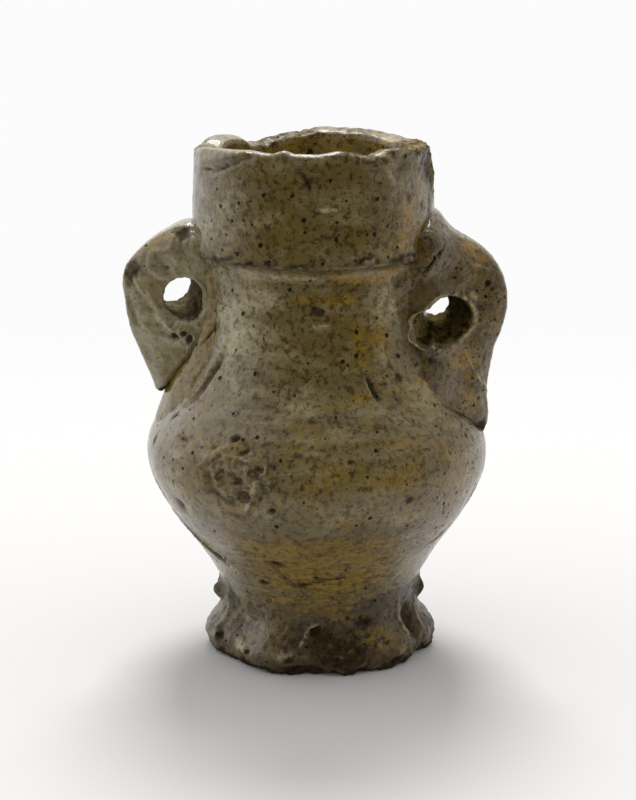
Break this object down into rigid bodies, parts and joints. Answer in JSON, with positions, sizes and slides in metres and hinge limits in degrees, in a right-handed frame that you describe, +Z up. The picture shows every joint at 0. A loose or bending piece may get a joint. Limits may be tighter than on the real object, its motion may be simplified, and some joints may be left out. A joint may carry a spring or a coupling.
{
  "type": "stoneware jar",
  "caption": "Small salt-glazed stoneware jar with a round belly, a straight neck over a sharp ledge, pierced cord lugs and a thumbed foot.",
  "frame": {"origin": "middle of the standing plane under the foot", "axes": "+X through the right lug, +Y to the back, +Z up out of the mouth"},
  "size_m": [0.0738, 0.066, 0.1],
  "materials": {
    "glazed_body": "grey to olive-brown salt glaze with an orange-peel surface and iron spots",
    "foot_clay": "thin salt glaze over pinched clay, bare and dark along the standing edge",
    "lug_clay": "salt glaze over pressed clay, thin on the edges",
    "luting_clay": "smeared slip under a thin, paler salt glaze"
  },
  "bodies": {
    "root": {"thrown_vessel": "glazed_body", "foot_ring": "foot_clay", "left_lug": "lug_clay", "right_lug": "lug_clay", "left_lug_luting": "luting_clay", "right_lug_luting": "luting_clay"}
  },
  "joints": []
}
